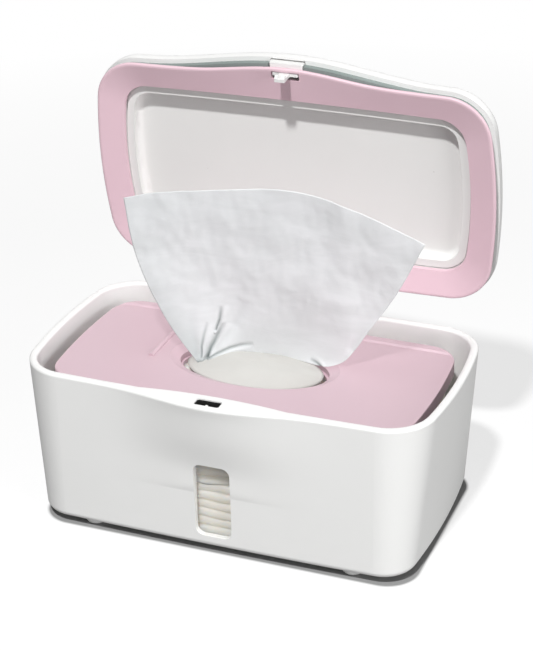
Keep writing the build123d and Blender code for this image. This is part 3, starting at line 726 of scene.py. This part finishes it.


# The crown is the same cloth as the other wipes, given a darker grey: painted shade that tones down this
# upturned crown.
crown_wipe = moist_wipe(
    "crown_wipe", (0.565, 0.56, 0.535), (0.53, 0.52, 0.495),
    cloud_scale=45.0, fibre_scale=1500.0, fibre_depth=0.0002,
)
crown = crown_of_next_wipe()
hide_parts("next_wipe")
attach(crown, "wipes")


# Pulled wipe: one sheet of moist white nonwoven drawn up through the oval.
# It is gathered to a point at the left of the oval, hangs over its right end and fans out above.
def curve_points(anchors, count):
    """Evenly spaced points on a smooth line through the anchors, given in millimetres."""
    dense = []
    for index in range(len(anchors) - 1):
        before = anchors[max(index - 1, 0)]
        start = anchors[index]
        end = anchors[index + 1]
        after = anchors[min(index + 2, len(anchors) - 1)]
        for step in range(24):
            t = step / 24
            dense.append([
                0.5 * (2 * b + (c - a) * t + (2 * a - 5 * b + 4 * c - d) * t**2
                       + (3 * b - a - 3 * c + d) * t**3)
                for a, b, c, d in zip(before, start, end, after)
            ])
    dense.append(list(anchors[-1]))
    line = np.array(dense)
    run = np.concatenate([[0], np.cumsum(np.linalg.norm(np.diff(line, axis=0), axis=1))])
    wanted = np.linspace(0, run[-1], count)
    return np.stack([np.interp(wanted, run, line[:, axis]) for axis in range(3)], axis=1)


def surface_between(left, right, bottom, top):
    """A smooth surface that meets four edges, each given as evenly spaced points."""
    u = np.linspace(0, 1, len(bottom))[None, :, None]
    v = np.linspace(0, 1, len(left))[:, None, None]
    surface = (1 - u) * left[:, None, :] + u * right[:, None, :]
    surface = surface + (1 - v) * bottom[None, :, :] + v * top[None, :, :]
    surface = surface - (1 - u) * (1 - v) * bottom[0] - u * (1 - v) * bottom[-1]
    return surface - (1 - u) * v * top[0] - u * v * top[-1]


def place_by_line(x, z, line):
    """Distance from a line, positive on its right, and how far along the line the nearest place is."""
    nearest = np.full_like(x, np.inf)
    signed = np.zeros_like(x)
    along = np.zeros_like(x)
    for index, ((x0, z0), (x1, z1)) in enumerate(zip(line, line[1:])):
        run_x = x1 - x0
        run_z = z1 - z0
        length = math.hypot(run_x, run_z)
        t = np.clip(((x - x0) * run_x + (z - z0) * run_z) / length**2, 0, 1)
        off = np.hypot(x - x0 - t * run_x, z - z0 - t * run_z)
        side = np.sign((x - x0) * run_z - (z - z0) * run_x)
        closer = off < nearest
        nearest = np.where(closer, off, nearest)
        signed = np.where(closer, off * side, signed)
        along = np.where(closer, (index + t) / (len(line) - 1), along)
    return signed, along


def pleats(x, z):
    """How far the pleats press the sheet in at each point, and the painted shade along their bottoms."""
    # Line of each pleat from its root in millimetres, then its width, its depth and the darkness of the
    # painted shade along it
    lines = [
        ([(-27.0, 82.0), (-26.2, 86.5), (-23.6, 92.5), (-20.2, 100.5)], 0.8, 2.6, 0.95),
        ([(-24.2, 96.0), (-22.4, 102.0), (-21.3, 110.0)], 0.55, 1.4, 0.9),
        ([(-29.4, 83.0), (-30.2, 88.0), (-29.6, 94.0), (-28.0, 101.0)], 0.5, 1.0, 0.7),
        ([(-27.0, 82.0), (-22.0, 83.6), (-17.0, 85.6), (-11.0, 86.9), (-5.0, 87.8)], 0.6, 1.3, 0.85),
        ([(34.5, 81.6), (31.0, 82.8), (27.0, 83.6)], 0.6, 0.4, 1.0),
        ([(-31.5, 84.5), (-35.0, 95.0), (-37.0, 108.0)], 1.6, 0.9, 0.1),
        ([(-24.0, 86.0), (-15.0, 99.0), (-9.0, 114.0)], 1.8, 1.1, 0.08),
        ([(52.0, 95.0), (62.0, 112.0), (70.0, 128.0)], 3.0, 0.8, 0.05),
    ]
    start_level = 80.5
    start_height = 1.2
    widening = 1.2
    ridge_place = 2.2
    ridge_width = 1.5
    ridge_share = 0.7
    shade_width = 0.75
    lift = np.zeros_like(x)
    shade = np.zeros_like(x)
    for line, width, depth, dark in lines:
        signed, along = place_by_line(x, z, line)
        fade = np.sqrt(np.clip(1 - along, 0, 1)) * np.clip((z - start_level) / start_height, 0, 1)
        spread = width * (1 + widening * along)
        valley = np.exp(-(signed / spread) ** 2)
        ridge = np.exp(-((signed - ridge_place * spread) / (ridge_width * spread)) ** 2)
        lift += depth * fade * (ridge_share * ridge - valley)
        shade = np.maximum(shade, dark * fade * np.exp(-(signed / (shade_width * spread)) ** 2))
    return lift, shade


def painted_sheet_shade(x, z, shade):
    """Adds painted shade to the pleats' shade: a painted shadow along the gathered foot, and painted shade
    low down and along the left edge.
    """
    foot_share = 0.6
    foot_end_x = -13.0
    foot_fade = 8.0
    foot_level = 80.9
    foot_height = 1.1
    low_shade_share = 0.1
    low_shade_level = 130.0
    low_shade_fade = 40.0
    left_half_share = 0.06
    left_half_end = 0.8
    left_half_fade = 0.3
    edge_share = 0.16
    edge_width = 0.12
    foot = np.clip((foot_end_x - x) / foot_fade, 0, 1) * np.exp(-((z - foot_level) / foot_height) ** 2)
    shade = np.maximum(shade, foot_share * foot)
    # Painted shade over the lower part and the left edge, toning down the light there.
    low = np.clip((low_shade_level - z) / low_shade_fade, 0, 1)
    u = np.linspace(0, 1, x.shape[1])[None, :]
    painted_dimming = low_shade_share * low + left_half_share * np.clip((left_half_end - u) / left_half_fade, 0, 1)
    painted_dimming = painted_dimming + np.exp(-(u / edge_width) ** 2) * (edge_share + edge_share * low)
    return shade + (1 - shade) * painted_dimming


def slow_waves(x, z):
    """The soft waves of hanging cloth, which die away towards the oval, and a broad fold at the right."""
    wave_width = 34.0
    wave_height = 48.0
    # How much finer each of the three waves is than the first, and its depth in millimetres
    waves = ((1.0, 2.4), (2.7, 0.8), (7.0, 0.22))
    held_level = 84.0
    held_fade = 40.0
    fold_depth = 1.6
    fold_width = 9.0
    fold_x = 44.0
    fold_middle = 150.0
    fold_lean = 0.12
    fold_start = 125.0
    fold_fade = 35.0
    wave = np.zeros_like(x)
    for row in range(x.shape[0]):
        for column in range(x.shape[1]):
            place = Vector((x[row, column] / wave_width, z[row, column] / wave_height, 2.0))
            wave[row, column] = sum(noise.noise(place * finer) * depth for finer, depth in waves)
    free = np.clip((z - held_level) / held_fade, 0, 1)
    fold = np.exp(-((x - fold_x - (z - fold_middle) * fold_lean) / fold_width) ** 2)
    return wave * free + fold_depth * fold * np.clip((z - fold_start) / fold_fade, 0, 1)


def sheet_faces(rows, columns):
    """Faces of a thin sheet: its front, its back and the narrow rim between them."""
    faces = []
    size = rows * columns
    for row in range(rows - 1):
        for column in range(columns - 1):
            a = row * columns + column
            b = a + 1
            c = a + columns + 1
            d = a + columns
            faces.append((a, b, c, d))
            faces.append((a + size, d + size, c + size, b + size))
    rim = list(range(columns))
    rim += [row * columns + columns - 1 for row in range(1, rows)]
    rim += [(rows - 1) * columns + column for column in range(columns - 2, -1, -1)]
    rim += [row * columns for row in range(rows - 2, 0, -1)]
    for index, a in enumerate(rim):
        b = rim[(index + 1) % len(rim)]
        faces.append((b, a, a + size, b + size))
    return faces


def pulled_sheet():
    """The sheet between its four edges, with the pleats that run out from where it is gathered."""
    left_edge = [
        (-30.5, -6.0, 80.9), (-35.4, -5.5, 86.4), (-44.5, -5.0, 97.8), (-53.1, -5.0, 112.2),
        (-57.6, -5.0, 121.3), (-65.7, -4.0, 141.0), (-71.2, -2.0, 169.4),
    ]
    right_edge = [
        (38.4, 9.0, 82.6), (47.0, 9.5, 86.8), (54.4, 10.0, 96.2), (60.0, 10.0, 105.4),
        (75.8, 10.0, 130.4), (91.3, 9.0, 161.5),
    ]
    top_edge = [
        (-71.2, -2.0, 169.4), (-55.4, 0.0, 173.2), (-39.2, 2.0, 176.1), (-11.0, 4.0, 180.2),
        (14.0, 5.0, 182.4), (31.6, 7.0, 180.5), (49.2, 8.0, 176.9), (70.8, 8.5, 169.9), (91.3, 9.0, 161.5),
    ]
    bottom_edge = [
        (-30.5, -6.0, 80.9), (-26.0, -1.5, 80.9), (-20.5, 3.5, 80.9), (-11.0, 10.0, 81.0),
        (-1.0, 13.2, 81.0), (10.0, 14.6, 81.0), (21.0, 13.8, 81.0), (31.0, 11.0, 81.4), (38.4, 9.0, 82.6),
    ]
    columns = 230
    rows = 150
    thickness = 0.12
    forward_shift = -6.847
    millimetre = 0.001
    sheet = surface_between(
        curve_points(left_edge, rows),
        curve_points(right_edge, rows),
        curve_points(bottom_edge, columns),
        curve_points(top_edge, columns),
    )
    x = sheet[:, :, 0]
    z = sheet[:, :, 2]
    lift, shade = pleats(x, z)
    shade = painted_sheet_shade(x, z, shade)
    sheet[:, :, 1] -= lift + slow_waves(x, z)
    back = sheet.copy()
    back[:, :, 1] += thickness
    points = np.concatenate([sheet.reshape(-1, 3), back.reshape(-1, 3)])
    points[:, 1] += forward_shift
    piece = smooth_object("pulled_sheet", points * millimetre, sheet_faces(rows, columns), white_wipe)
    fold_shade = piece.data.attributes.new("fold_shade", "FLOAT", "POINT")
    fold_shade.data.foreach_set("value", np.concatenate([shade.ravel(), shade.ravel()]))
    return piece


white_wipe = moist_wipe(
    "white_wipe", (0.80, 0.81, 0.825), (0.735, 0.748, 0.758),
    cloud_scale=62.0, fibre_scale=1300.0, fibre_depth=0.00025,
)
lets_light_through(white_wipe, 0.88)
# Painted shade: the sheet's fold_shade values darken its colour toward this grey.
shaded_folds(white_wipe, (0.13, 0.16, 0.155))
pulled = pulled_sheet()
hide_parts("pulled_wipe")
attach(pulled, "wipe")
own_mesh(pulled)
